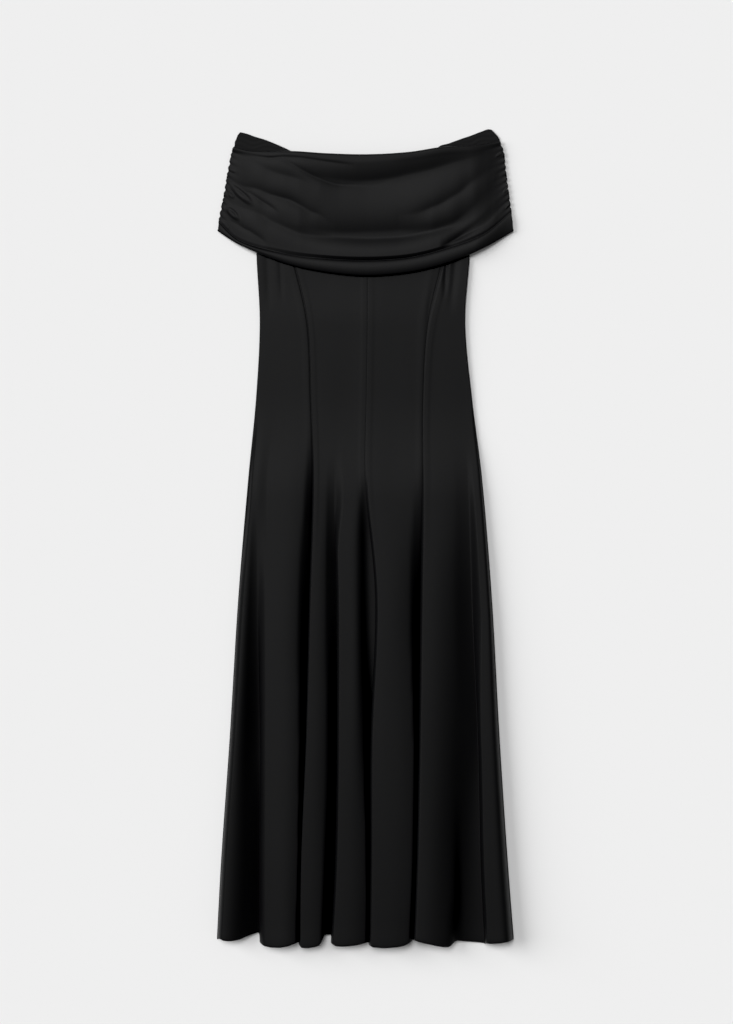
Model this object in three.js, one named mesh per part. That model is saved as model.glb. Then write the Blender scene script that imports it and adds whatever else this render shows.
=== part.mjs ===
import * as THREE from 'three';

// Off-the-shoulder flared dress, laid out flat on its back.
// Millimetres: +X across the dress, +Y towards the neck, +Z up from the surface that it lies on.
// The origin is the middle of the ground that the dress covers.
// The body is one flattened tube of six cut panels. A draped band in two pieces goes round its top.

const { lerp, clamp, smoothstep } = THREE.MathUtils;

// Driving sizes
const middle = { x: 0.2, y: 2 }; // the middle of the dress in the measures below
const wall = 1.5; // thickness of the cloth
const seamGap = 0.3; // between two pieces at a seam
const sideRoll = 1.15; // radius of the body's edge where front turns into back
const hipY = 225; // the skirt begins to flare and stand up here
const flareEase = 0.12; // share of the way down over which it eases in
const flarePower = 0.72; // below 1 the folds stand up early
const hemY = -610; // height at which the hem sizes below are given
const sideHemY = -600; // the hem at the two side seams
const hemStep = 0.45; // how suddenly the hem steps down at a round flank, 1 for not at all
const backHemY = -586; // the hem of the back, hidden under the front
const underarmY = 498; // top of the side seams
const armhole = { middle: -2, half: 166, from: 0.84 }; // it comes down from this share of the half
const neckHeight = 574; // about where the neckline is
const bodiceLoft = wall / 2 + 2 * sideRoll; // middle of the front's cloth where it lies on the back
const bandLift = 2; // the bodice is raised by this where the back of the band lies under it
const bandLiftFrom = 200;
const bandLiftTo = 365;

// Where the seams and the feet of the skirt's folds run, in x at each height y.
// a1 to a6 are the left feet and b1 to b6 the right feet of the six troughs between the seven folds.
// b2 and b5 are also the princess seams, and b4 is the centre front seam.
const lines = [
  { y: 570, sideL: -167, a1: -163, b1: -159, a2: -150, b2: -145, a3: -95, b3: -62,
    a4: -6, b4: 3, a5: 112, b5: 149, a6: 153, b6: 157, sideR: 162 },
  { y: 425, sideL: -163.5, a1: -154, b1: -146, a2: -116, b2: -110, a3: -68, b3: -47,
    a4: -5, b4: 3, a5: 92, b5: 117, a6: 130, b6: 143, sideR: 156.5 },
  { y: 325, sideL: -158.6, a1: -151, b1: -142, a2: -95, b2: -87.5, a3: -61, b3: -44,
    a4: -5, b4: 3, a5: 82, b5: 94, a6: 121, b6: 136, sideR: 149.7 },
  { y: 210, sideL: -164.3, a1: -157, b1: -148, a2: -90, b2: -82, a3: -59, b3: -45.5,
    a4: -4.5, b4: 1.4, a5: 77, b5: 86.5, a6: 127, b6: 144, sideR: 160.2 },
  { y: 90, sideL: -176, a1: -171, b1: -161, a2: -89, b2: -79, a3: -58, b3: -45.5,
    a4: -6, b4: 0, a5: 73.5, b5: 85.7, a6: 134, b6: 153, sideR: 175.2 },
  { y: -90, sideL: -191, a1: -177.5, b1: -159.5, a2: -99, b2: -84.3, a3: -59, b3: -38,
    a4: -5, b4: 15.5, a5: 67.7, b5: 83, a6: 135, b6: 164.5, sideR: 189.9 },
  { y: -300, sideL: -203.9, a1: -180, b1: -153.6, a2: -97.5, b2: -88.5, a3: -57, b3: -39,
    a4: -2, b4: 8.7, a5: 72.5, b5: 81, a6: 138, b6: 172.7, sideR: 201.5 },
  { y: -480, sideL: -215.7, a1: -183, b1: -155, a2: -99.8, b2: -96, a3: -60, b3: -45,
    a4: 2.5, b4: 7, a5: 71, b5: 76, a6: 134.5, b6: 176, sideR: 212.4 },
  { y: -610, sideL: -222, a1: -188, b1: -158, a2: -103, b2: -99.3, a3: -64.7, b3: -51.6,
    a4: 2, b4: 5.4, a5: 67.2, b5: 71, a6: 131.7, b6: 179.4, sideR: 222 },
];

// The seven standing folds, left to right: crest is the height at the hem and hem its y there,
// peak is where the crest is between the feet, and left and right say how round each flank is,
// from 0 for a soft slope to 1 for the side of a tube.
const folds = [
  { crest: 24, hem: -600.8, peak: 0.32, left: 1, right: 0.25 },
  { crest: 26, hem: -608.6, peak: 0.42, left: 0.9, right: 0.5 },
  { crest: 22, hem: -609.9, peak: 0.42, left: 0.95, right: 0.6 },
  { crest: 25, hem: -607.1, peak: 0.38, left: 0.85, right: 0.4 },
  { crest: 27, hem: -608.8, peak: 0.36, left: 1, right: 0.5 },
  { crest: 29, hem: -607.7, peak: 0.82, left: 0.7, right: 1 },
  { crest: 26, hem: -604.5, peak: 0.6, left: 0.5, right: 1 },
];

// The six troughs between the folds: pinch is the share of the folds' height at which the floor
// is held, 0 where it lies on the back, and hemA and hemB are its y at the hem on its two sides.
// start is the y where the trough begins, and reach how far below that it is fully open.
const troughs = [
  { pinch: 0, hemA: -599.5, hemB: -589.5, start: 150, reach: 300 },
  { pinch: 0.02, hemA: -605.5, hemB: -605.5, start: 215, reach: 160 },
  { pinch: 0, hemA: -593.5, hemB: -592.5, start: 170, reach: 200 },
  { pinch: 0.02, hemA: -602.5, hemB: -603.5, start: 85, reach: 110 },
  { pinch: 0.02, hemA: -600, hemB: -600, start: 220, reach: 210 },
  { pinch: 0, hemA: -600.5, hemB: -602, start: 180, reach: 300 },
];

// Shallow creases of the back skirt, which lift off the surface: x at the hem and where they begin.
const backCreases = [
  { hemX: -128, topX: -112, rise: 3, half: 9 },
  { hemX: -26, topX: -24, rise: 3, half: 9 },
  { hemX: 38, topX: 40, rise: 3.4, half: 9 },
  { hemX: 104, topX: 104, rise: 3, half: 9 },
];
const creaseTopY = 60;

// Shares across the back at which it has a column of points, closer together at its creases.
const backShares = [
  1, 0.94, 0.86, 0.8, 0.74, 0.65, 0.6, 0.55, 0.5, 0.45, 0.39, 0.3, 0.23, 0.19, 0.15, 0.06, 0,
];

// Height of each row of points of the body, in y at the centre front.
const bodyRows = [
  570, 530, 485, 440, 400, 370, 340, 305, 260, 210, 160, 110, 60, 0,
  -65, -135, -210, -290, -375, -465, -550, -614,
];

// Front of the band: y of its top edge, of the crease above its rolled border and of its lower edge,
// at shares s of the way across, from -1 at one side seam to 1 at the other.
const bandFront = [
  { s: -1, top: 588, crease: 475.5, hem: 461.5 },
  { s: -0.85, top: 581.7, crease: 446.6, hem: 440.2 },
  { s: -0.55, top: 581.3, crease: 428, hem: 413.2 },
  { s: -0.3, top: 578, crease: 420.2, hem: 400.5 },
  { s: 0, top: 576.5, crease: 417.1, hem: 393.9 },
  { s: 0.3, top: 580, crease: 421.5, hem: 399.2 },
  { s: 0.55, top: 587.5, crease: 435.4, hem: 412.6 },
  { s: 0.8, top: 590.5, crease: 456.5, hem: 435.5 },
  { s: 1, top: 597, crease: 490, hem: 461.5 },
];

// Back of the band: its top edge shows above the front at both corners.
const bandBack = [
  { s: -1, top: 604, hem: 462.5 },
  { s: -0.948, top: 612, hem: 458 },
  { s: -0.85, top: 603.4, hem: 446 },
  { s: -0.6, top: 584, hem: 428 },
  { s: -0.3, top: 556, hem: 414 },
  { s: 0, top: 546, hem: 410 },
  { s: 0.3, top: 560, hem: 414 },
  { s: 0.6, top: 591.5, hem: 428 },
  { s: 0.8, top: 606, hem: 442 },
  { s: 0.948, top: 614.6, hem: 458 },
  { s: 1, top: 604, hem: 462.5 },
];

// The band's side edges, in x at each height y.
const bandSides = [
  { y: 614, left: -188, right: 192.5 },
  { y: 597, left: -193.5, right: 202 },
  { y: 574, left: -200.5, right: 207.8 },
  { y: 544, left: -207.2, right: 211.2 },
  { y: 514, left: -212.2, right: 215.2 },
  { y: 484, left: -218.4, right: 219.2 },
  { y: 460, left: -221.3, right: 221.6 },
];

// Cowl folds of the band's front, as valleys through four points from the left to the right.
// full says at which ends the valley runs into the side seam at its whole depth,
// and sharp goes from 1 for a crease to 2 for a soft hollow.
const cowls = [
  { points: [[-130, 569], [-78, 546], [-10, 531], [60, 541]], depth: 3.6, width: 8, sharp: 1.6, full: '' },
  { points: [[20, 532], [75, 552], [130, 571], [196, 588]], depth: 3.4, width: 10, sharp: 1.8, full: 'right' },
  { points: [[-185, 574], [-140, 562], [-95, 542], [-40, 520]], depth: 1.8, width: 9, sharp: 2, full: 'left' },
  { points: [[-204, 546], [-155, 526], [-100, 507], [-46, 473]], depth: 3.6, width: 6, sharp: 1.3, full: 'left' },
  { points: [[30, 490], [75, 500], [135, 525], [206, 560]], depth: 3, width: 8, sharp: 1.8, full: 'right' },
  { points: [[-208, 530], [-176, 518], [-150, 504], [-120, 482]], depth: 2.4, width: 5, sharp: 1.4, full: 'left' },
  { points: [[-212, 508], [-164, 490], [-112, 466], [-30, 452]], depth: 3.8, width: 6, sharp: 1.4, full: 'left' },
  { points: [[-50, 452], [30, 453], [110, 474], [212, 541]], depth: 5, width: 8, sharp: 1.4, full: 'right' },
  { points: [[108, 434], [140, 454], [178, 490], [216, 520]], depth: 4.4, width: 8, sharp: 1.5, full: 'right' },
  { points: [[-215, 482], [-186, 469], [-168, 458], [-150, 442]], depth: 2, width: 4, sharp: 1.4, full: 'left' },
];
const cowlFade = 30; // a valley dies out over this length at an end that isn't full

const bandEdgeZ = 2.6; // middle of the band front's cloth at its side seams
const bandLow = 7; // lowest that the band's front lies over the bodice
const bandPlump = 5.6; // its folds stand this much higher
const bandShoulder = 0.74; // share of the way out at which it begins to come down to the sides
const neckTurn = 9; // the band is turned in by this much at its top edge
const gathers = 11; // ruched gathers at each side seam
const gatherRise = 1.5;
const gatherReach = 20; // they die out over this length
const scallop = 0.9; // the gathers push the edge out and in by this much
const gatherHalf = 200; // half the width of the band
const seamPull = 10; // how fast the gathers' rise dies out from the seam
const backPull = 14; // the same for the band's back
const scallopPower = 12; // only the outermost cloth is pushed out and in
const sideShare = 0.25; // how plump the folds are at the seams
const sideDepth = 0.45; // how deep their valleys are at the seams
const seamShare = 0.35; // how much of its height the cloth keeps in the seams
const fuller = { rise: 2, from: 0.75, to: 0.97 }; // the drape is fuller above the crease
const neckRound = { side: 1, middle: 2.3 }; // radius of the rolled neck edge
const rollHigh = { side: 2.2, middle: 3.6 }; // half the height of the rolled border
const cloth = { color: 0x1c1c1d, roughness: 0.82, metalness: 0 };

// A smooth curve through one column of a table, read against another column.
function curveOf(rows, at, key) {
  const order = [...rows].sort((p, q) => p[at] - q[at]);
  const t = order.map((row) => row[at]);
  const v = order.map((row) => row[key]);
  const last = t.length - 1;
  const slope = t.map((_, i) => {
    const before = Math.max(i - 1, 0);
    const after = Math.min(i + 1, last);
    return (v[after] - v[before]) / (t[after] - t[before]);
  });
  return (x) => {
    const near = clamp(x, t[0], t[last]);
    let i = 0;
    while (i < last - 1 && near > t[i + 1]) i += 1;
    const span = t[i + 1] - t[i];
    const k = (near - t[i]) / span;
    const k2 = k * k;
    const k3 = k2 * k;
    return (2 * k3 - 3 * k2 + 1) * v[i] + (k3 - 2 * k2 + k) * span * slope[i]
      + (3 * k2 - 2 * k3) * v[i + 1] + (k3 - k2) * span * slope[i + 1];
  };
}

const line = Object.fromEntries(Object.keys(lines[0]).slice(1).map((key) => [key, curveOf(lines, 'y', key)]));
const bandSide = { left: curveOf(bandSides, 'y', 'left'), right: curveOf(bandSides, 'y', 'right') };
const frontEdge = Object.fromEntries(['top', 'crease', 'hem'].map((key) => [key, curveOf(bandFront, 's', key)]));
const backEdge = Object.fromEntries(['top', 'hem'].map((key) => [key, curveOf(bandBack, 's', key)]));

// How far the body is raised by the back of the band under it.
function lifted(y) {
  return bandLift * smoothstep(y, bandLiftFrom, bandLiftTo);
}

// One flank of a fold, from its foot at turn 0 to its crest at turn 1: its shares across and up.
function flank(turn, round) {
  const angle = (turn * Math.PI) / 2;
  return {
    across: lerp(turn, 1 - Math.cos(angle), round),
    up: lerp((1 - Math.cos(2 * angle)) / 2, Math.sin(angle), round),
  };
}

// Height of a fold's crest, without the lift of the band.
function crestAt(k, y) {
  const down = clamp((hipY - y) / (hipY - hemY), 0, 1);
  const flare = Math.pow(down, flarePower) * smoothstep(down, 0, flareEase);
  return lerp(bodiceLoft, folds[k].crest, flare);
}

// Height of a trough's floor: level with the crests beside it where the trough hasn't begun.
function floorAt(j, y) {
  const crests = (crestAt(j, y) + crestAt(j + 1, y)) / 2;
  const open = smoothstep((troughs[j].start - y) / troughs[j].reach, 0, 1);
  return lerp(crests, lerp(bodiceLoft, crests, troughs[j].pinch), open);
}

// A foot of fold k: where it is, how high, and the y of the hem there.
function footAt(k, side, y) {
  const j = side === 'left' ? k - 1 : k;
  const inward = wall / 2 + sideRoll;
  if (j < 0) return { x: line.sideL(y) + inward, z: bodiceLoft, hem: sideHemY };
  if (j >= troughs.length) return { x: line.sideR(y) - inward, z: bodiceLoft, hem: sideHemY };
  const end = side === 'left' ? 'B' : 'A';
  return { x: line[end.toLowerCase() + (j + 1)](y), z: floorAt(j, y), hem: troughs[j]['hem' + end] };
}

// A column of the body's front: a point on one flank of fold k.
function flankColumn(k, side, turn) {
  const fold = folds[k];
  const { across, up } = flank(turn, fold[side]);
  return (y) => {
    const left = footAt(k, 'left', y);
    const right = footAt(k, 'right', y);
    const foot = side === 'left' ? left : right;
    return {
      x: lerp(foot.x, lerp(left.x, right.x, fold.peak), across),
      z: lerp(foot.z, crestAt(k, y), up) + lifted(y),
      hem: lerp(foot.hem, fold.hem, Math.pow(up, lerp(1, hemStep, fold[side]))),
    };
  };
}

// A column in the middle of the floor of trough j.
function floorColumn(j) {
  return (y) => ({
    x: (line['a' + (j + 1)](y) + line['b' + (j + 1)](y)) / 2,
    z: floorAt(j, y) + lifted(y),
    hem: (troughs[j].hemA + troughs[j].hemB) / 2,
  });
}

// A column of the body's back at share u of the way from the left side to the right side.
function backColumn(u) {
  return (y) => {
    const x = lerp(line.sideL(y) + wall / 2 + sideRoll, line.sideR(y) - wall / 2 - sideRoll, u);
    const down = smoothstep(creaseTopY - y, 0, creaseTopY - hemY);
    let rise = 0;
    for (const crease of backCreases) {
      const away = (x - lerp(crease.topX, crease.hemX, down)) / crease.half;
      rise += crease.rise * down * Math.exp(-away * away);
    }
    const hem = lerp(backHemY, sideHemY, Math.pow(Math.abs(2 * u - 1), 6));
    return { x, z: wall / 2 + rise + lifted(y), hem };
  };
}

// A column on the roll at the body's side: turn 0 ends the back's flat, 1 is the side seam
// and 2 begins the front.
function rollColumn(side, turn) {
  const angle = (turn * Math.PI) / 2;
  const inward = wall / 2 + sideRoll * (1 - Math.sin(angle));
  return (y) => ({
    x: side === 'left' ? line.sideL(y) + inward : line.sideR(y) - inward,
    z: wall / 2 + sideRoll * (1 - Math.cos(angle)) + lifted(y),
    hem: sideHemY,
  });
}

// All columns of the body, once round it from the left side seam, and which of them are seams.
function bodyColumns() {
  const columns = [rollColumn('left', 1), rollColumn('left', 1.5)];
  const seams = { sideL: 0 };
  folds.forEach((fold, k) => {
    if (k > 0) {
      columns.push(floorColumn(k - 1));
      if (k === 2 || k === 4 || k === 5) seams['b' + k] = columns.length;
    }
    for (const turn of [0, 1 / 3, 2 / 3, 1]) columns.push(flankColumn(k, 'left', turn));
    for (const turn of [2 / 3, 1 / 3, 0]) columns.push(flankColumn(k, 'right', turn));
  });
  columns.push(rollColumn('right', 1.5));
  seams.sideR = columns.length;
  columns.push(rollColumn('right', 1), rollColumn('right', 0.5));
  for (const u of backShares) {
    if (u === 0.5) seams.backCentre = columns.length;
    columns.push(backColumn(u));
  }
  columns.push(rollColumn('left', 0.5));
  return { columns, seams };
}

// The share across the band, from -1 at its left edge to 1 at its right edge, at a point.
function shareAcross(x, y) {
  const left = bandSide.left(y);
  return clamp((2 * (x - left)) / (bandSide.right(y) - left) - 1, -1, 1);
}

// y of the body's top edge at x: the neckline, and the armhole down to the underarm.
function bodyTop(x, front) {
  const reach = clamp(Math.abs(x - armhole.middle) / armhole.half, 0, 1);
  const s = shareAcross(x, neckHeight);
  const lowerTop = Math.min(backEdge.top(s), frontEdge.top(s));
  const neck = front ? frontEdge.top(s) - neckTurn - seamGap : lowerTop - neckTurn;
  return lerp(neck, underarmY, smoothstep(reach, armhole.from, 1));
}

// The body as rows of points round the tube.
function bodyGrid() {
  const { columns, seams } = bodyColumns();
  const first = bodyRows[0];
  const last = bodyRows[bodyRows.length - 1];
  const tops = columns.map((column, c) => bodyTop(column(first).x, c <= seams.sideR));
  const hems = columns.map((column) => column(hemY).hem);
  const grid = bodyRows.map((nominal) => {
    const down = (first - nominal) / (first - last);
    return columns.map((column, c) => {
      const y = lerp(tops[c], hems[c], down);
      const point = column(y);
      return new THREE.Vector3(point.x, y, point.z);
    });
  });
  return { grid, seams };
}

// Directions along the rows and out of the cloth at each point of a grid.
function framesOf(grid, closed) {
  const rows = grid.length;
  const count = grid[0].length;
  return grid.map((row, r) => row.map((_, c) => {
    const next = closed ? (c + 1) % count : Math.min(c + 1, count - 1);
    const before = closed ? (c + count - 1) % count : Math.max(c - 1, 0);
    const along = row[next].clone().sub(row[before]).normalize();
    const up = grid[Math.max(r - 1, 0)][c].clone().sub(grid[Math.min(r + 1, rows - 1)][c]);
    return { along, out: along.clone().cross(up).normalize() };
  }));
}

// A closed solid of the cloth's thickness round rows of points that have a direction out.
function clothSolid(points, out) {
  const rows = points.length;
  const count = points[0].length;
  const positions = [];
  for (const side of [wall / 2, -wall / 2]) {
    points.forEach((row, r) => row.forEach((p, c) => {
      positions.push(...p.clone().addScaledVector(out[r][c], side).toArray());
    }));
  }
  const inner = rows * count;
  const at = (r, c) => r * count + c;
  const faces = [];
  for (let r = 0; r < rows - 1; r += 1) {
    for (let c = 0; c < count - 1; c += 1) {
      const [a, b, d, e] = [at(r, c), at(r, c + 1), at(r + 1, c), at(r + 1, c + 1)];
      faces.push(a, d, e, a, e, b);
      faces.push(inner + a, inner + e, inner + d, inner + a, inner + b, inner + e);
    }
  }
  const rim = (a, b) => faces.push(a, b, inner + b, a, inner + b, inner + a);
  for (let c = 0; c < count - 1; c += 1) {
    rim(at(0, c), at(0, c + 1));
    rim(at(rows - 1, c + 1), at(rows - 1, c));
  }
  for (let r = 0; r < rows - 1; r += 1) {
    rim(at(r + 1, 0), at(r, 0));
    rim(at(r, count - 1), at(r + 1, count - 1));
  }
  const geometry = new THREE.BufferGeometry();
  geometry.setAttribute('position', new THREE.Float32BufferAttribute(positions, 3));
  geometry.setIndex(faces);
  geometry.computeVertexNormals();
  return geometry;
}

// One cut piece as a named mesh.
function piece(name, geometry) {
  const mesh = new THREE.Mesh(geometry, new THREE.MeshStandardMaterial(cloth));
  mesh.name = name;
  return mesh;
}

// A panel of the body between two seams, drawn back from each by half the seam's gap.
function bodyPanel(name, grid, frames, from, to) {
  const count = grid[0].length;
  const columns = [];
  for (let c = from; c <= to; c += 1) columns.push(c % count);
  const points = grid.map((row, r) => columns.map((c, i) => {
    const shift = i === 0 ? seamGap / 2 : i === columns.length - 1 ? -seamGap / 2 : 0;
    return row[c].clone().addScaledVector(frames[r][c].along, shift);
  }));
  const out = frames.map((row) => columns.map((c) => row[c].out));
  return piece(name, clothSolid(points, out));
}

// How deep the cowl folds are at a point of the band's front.
function cowlDepth(x, y) {
  let depth = 0;
  for (const cowl of cowls) {
    const [start, , , end] = cowl.points;
    const middle = curveOf(cowl.points, 0, 1)(x);
    const slope = (end[1] - start[1]) / (end[0] - start[0]);
    const away = Math.abs(y - middle) / Math.hypot(1, slope) / cowl.width;
    const fromLeft = cowl.full === 'left' ? 1 : smoothstep(x, start[0], start[0] + cowlFade);
    const fromRight = cowl.full === 'right' ? 1 : 1 - smoothstep(x, end[0] - cowlFade, end[0]);
    depth += cowl.depth * fromLeft * fromRight * Math.exp(-Math.pow(away, cowl.sharp));
  }
  return depth;
}

// A share that is 1 over the bodice and 0 at the band's side seams.
function inland(s) {
  return 1 - smoothstep(Math.abs(s), bandShoulder, 1);
}

// The ruched gathers at a side seam: height at a distance from it, for a share down the seam.
function gatherWave(s, down) {
  const distance = (1 - Math.abs(s)) * gatherHalf;
  return Math.cos(2 * Math.PI * gathers * down) * Math.exp(-distance / gatherReach);
}

// A point of the band at share s across and height y, with the edge pushed out by the gathers.
function bandPoint(s, y, z, wave) {
  const left = bandSide.left(y);
  const right = bandSide.right(y);
  const push = Math.sign(s) * scallop * wave * Math.pow(Math.abs(s), scallopPower);
  return new THREE.Vector3(lerp(left, right, (s + 1) / 2) + push, y, z);
}

// Profile of the band's front at share s, from inside its neck edge, over the edge, down the drape,
// into the crease and round the rolled border to its turned-in end.
function bandFrontColumn(s) {
  const top = frontEdge.top(s);
  const crease = frontEdge.crease(s);
  const hem = frontEdge.hem(s);
  const over = inland(s);
  const low = lerp(bandEdgeZ, bandLow, over);
  const neckZ = lerp(bandEdgeZ, bodiceLoft + bandLift, over);
  const neckR = lerp(neckRound.side, neckRound.middle, over);
  const neckY = top - wall / 2 - neckR;
  const points = [bandPoint(s, top - lerp(neckRound.middle, neckTurn, over), neckZ, 0)];
  for (const degrees of [-90, -30, 30, 90]) {
    const angle = (degrees * Math.PI) / 180;
    const z = neckZ + neckR * (1 + Math.sin(angle));
    points.push(bandPoint(s, neckY + neckR * Math.cos(angle), z, 0));
  }
  const drapeRows = gathers * 2;
  const drapeStart = 1.5;
  const overhang = 5.5;
  const near = Math.min(1, seamShare + 4 * (1 - Math.abs(s)));
  for (let k = 1; k <= drapeRows; k += 1) {
    const down = k / drapeRows;
    const y = lerp(neckY - drapeStart, crease + overhang, down);
    const x = lerp(bandSide.left(y), bandSide.right(y), (s + 1) / 2);
    const bulge = fuller.rise * over * smoothstep(down, fuller.from, fuller.to);
    const plump = bandPlump * lerp(sideShare, 1, over) + bulge;
    const valley = cowlDepth(x, y) * lerp(sideDepth, 1, over);
    const rise = Math.max(plump - valley, 0.2) * lerp(near, 1, over);
    const wave = gatherWave(s, down);
    const pulled = gatherRise * ((1 + wave) / 2) * Math.exp(-(1 - Math.abs(s)) * seamPull);
    points.push(bandPoint(s, y, low + rise + pulled, wave));
  }
  points.push(bandPoint(s, crease + 1.4, low, 0), bandPoint(s, crease - 0.6, low, 0));
  const rollR = (crease - hem - wall) / 2;
  const rollZ = lerp(rollHigh.side, rollHigh.middle, over);
  for (const degrees of [20, 60, 100, 140, 180, 225]) {
    const angle = (degrees * Math.PI) / 180;
    const y = (crease + hem) / 2 + rollR * Math.cos(angle);
    points.push(bandPoint(s, y, low + rollZ * (1 + Math.sin(angle)), 0));
  }
  return points;
}

// The shares across the band at which it has a column of points.
function acrossShares(count) {
  const shares = [];
  for (let i = 0; i <= count; i += 1) shares.push(Math.sin((Math.PI / 2) * (2 * i / count - 1)));
  return shares.map((share, i) => lerp(share, 2 * i / count - 1, 0.45));
}

function bandFrontPiece() {
  const profiles = acrossShares(28).map(bandFrontColumn);
  const grid = profiles[0].map((_, r) => profiles.map((profile) => profile[r]));
  const out = framesOf(grid, false).map((row) => row.map((frame) => frame.out));
  return piece('band_front', clothSolid(grid, out));
}

// The band's back lies on the surface, so its gathers only rise from it.
function bandBackPiece() {
  const rows = 16;
  const grid = [];
  for (let k = 0; k <= rows; k += 1) {
    const down = k / rows;
    grid.push(acrossShares(20).map((s) => {
      const y = lerp(backEdge.top(s) - wall / 2, backEdge.hem(s), down);
      const wave = Math.cos(Math.PI * k);
      const near = Math.exp(-(1 - Math.abs(s)) * backPull) * smoothstep(down, 0, 0.2);
      return bandPoint(s, y, wall / 2, wave * near);
    }));
  }
  const out = framesOf(grid, false).map((row) => row.map((frame) => frame.out));
  return piece('band_back', clothSolid(grid, out));
}

function makeDress() {
  const dress = new THREE.Group();
  const { grid, seams } = bodyGrid();
  const frames = framesOf(grid, true);
  const round = grid[0].length;
  dress.add(
    bodyPanel('front_side_left', grid, frames, seams.sideL, seams.b2),
    bodyPanel('front_centre_left', grid, frames, seams.b2, seams.b4),
    bodyPanel('front_centre_right', grid, frames, seams.b4, seams.b5),
    bodyPanel('front_side_right', grid, frames, seams.b5, seams.sideR),
    bodyPanel('back_right', grid, frames, seams.sideR, seams.backCentre),
    bodyPanel('back_left', grid, frames, seams.backCentre, round),
    bandFrontPiece(),
    bandBackPiece(),
  );
  dress.position.set(-middle.x, -middle.y, 0);
  return dress;
}

export default makeDress();
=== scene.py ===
# Off-the-shoulder flared dress in black crepe, laid flat on its back.
# Metres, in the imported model's frame: +X across, +Y towards the neck, +Z up from the surface.
import math
import bpy
import numpy as np
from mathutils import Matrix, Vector, noise


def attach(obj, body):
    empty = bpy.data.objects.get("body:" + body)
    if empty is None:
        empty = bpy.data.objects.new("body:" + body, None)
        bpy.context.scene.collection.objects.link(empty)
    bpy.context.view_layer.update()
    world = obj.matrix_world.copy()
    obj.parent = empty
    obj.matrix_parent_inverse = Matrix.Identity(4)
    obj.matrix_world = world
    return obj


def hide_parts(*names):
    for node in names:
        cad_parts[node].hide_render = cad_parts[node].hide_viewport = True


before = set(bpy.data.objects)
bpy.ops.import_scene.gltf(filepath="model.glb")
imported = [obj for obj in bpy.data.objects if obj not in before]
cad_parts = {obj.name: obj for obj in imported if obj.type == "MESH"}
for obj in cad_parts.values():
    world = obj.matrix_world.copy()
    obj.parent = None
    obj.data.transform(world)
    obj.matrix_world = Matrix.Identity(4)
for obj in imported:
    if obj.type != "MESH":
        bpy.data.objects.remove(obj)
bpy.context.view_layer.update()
middleX, middleY = 0.0002, 0.002  # the middle of the dress in the measures below
clothThick = 0.0012
print("frame loaded:", len(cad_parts), "solids")


# camera, straight above, with the photo's framing

view = {
    "pixelsHigh": 1024,
    "groundPerPixel": 0.0015,
    "aimX": 0.00145,
    "aimY": 0.0389,
    "lens": 85,
    "sensor": 36,
}
cameraHigh = view["pixelsHigh"] * view["groundPerPixel"] * view["lens"] / view["sensor"]


def addCamera():
    bpy.ops.object.camera_add(location=(view["aimX"], view["aimY"], cameraHigh), rotation=(0, 0, 0))
    camera = bpy.context.object
    camera.data.lens = view["lens"]
    camera.data.sensor_width = view["sensor"]
    camera.data.clip_end = 50
    bpy.context.scene.camera = camera


# floor and light: a low soft key from the left, a softbox above the top left, and an even sky

studio = {
    "floorSize": 12,
    "floorGrey": 0.832,
    "skyStrength": 0.2,
    "blackPoint": 0.0045,
    "lamps": {  # name: strength, where it shines from, how wide it looks in degrees
        "key": (3.1, (-1.0, 0.3, 0.48), 40),
        "softbox": (1.45, (-0.19, 0.35, 0.95), 26),
    },
}


def addStudio():
    bpy.ops.mesh.primitive_plane_add(size=studio["floorSize"], location=(0, 0, 0))
    floor = bpy.context.object
    floor.name = "floor"
    paper = bpy.data.materials.new("palePaper")
    paper.use_nodes = True
    shader = paper.node_tree.nodes["Principled BSDF"]
    grey = studio["floorGrey"]
    shader.inputs["Base Color"].default_value = (grey, grey, grey, 1)
    shader.inputs["Roughness"].default_value = 1
    shader.inputs["Specular IOR Level"].default_value = 0
    floor.data.materials.append(paper)

    world = bpy.data.worlds.new("evenSky")
    bpy.context.scene.world = world
    world.use_nodes = True
    world.node_tree.nodes["Background"].inputs["Color"].default_value = (1, 1, 1, 1)
    world.node_tree.nodes["Background"].inputs["Strength"].default_value = studio["skyStrength"]

    for name, (strength, shinesFrom, spread) in studio["lamps"].items():
        bpy.ops.object.light_add(type="SUN", location=(0, 0, 3))
        lamp = bpy.context.object
        lamp.name = name
        lamp.data.energy = strength
        lamp.data.angle = math.radians(spread)
        lamp.rotation_euler = Vector(shinesFrom).to_track_quat("Z", "Y").to_euler()
        lamp.visible_glossy = name != "key"  # the matt cloth takes no shine from the low key

    scene = bpy.context.scene
    scene.view_settings.view_transform = "Standard"
    scene.view_settings.look = "None"
    scene.view_settings.exposure = 0
    scene.view_settings.gamma = 1
    scene.view_settings.use_curve_mapping = True
    scene.view_settings.curve_mapping.black_level = [studio["blackPoint"]] * 3
    scene.view_settings.curve_mapping.update()


addCamera()
addStudio()
print("camera, floor and light made")


# black crepe

crepe = {
    "black": 0.0052,
    "roughness": 0.5,
    "specular": 0.156,
    "blueCast": 1.05,
    "grainSize": 1100,  # grains to a metre
    "grainDepth": 0.00012,
    "grainStrength": 0.5,
    "yarnDetail": 2,
    "yarnTwist": 0.6,
    "pebbleShare": 0.5,
    "toneSize": 14,
    "toneSpread": 0.12,
    "toneDetail": 4,
    "wrongSideBlack": 1.15,  # times the right side's
    "wrongSideRoughness": 0.1,  # more than the right side's
}


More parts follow.
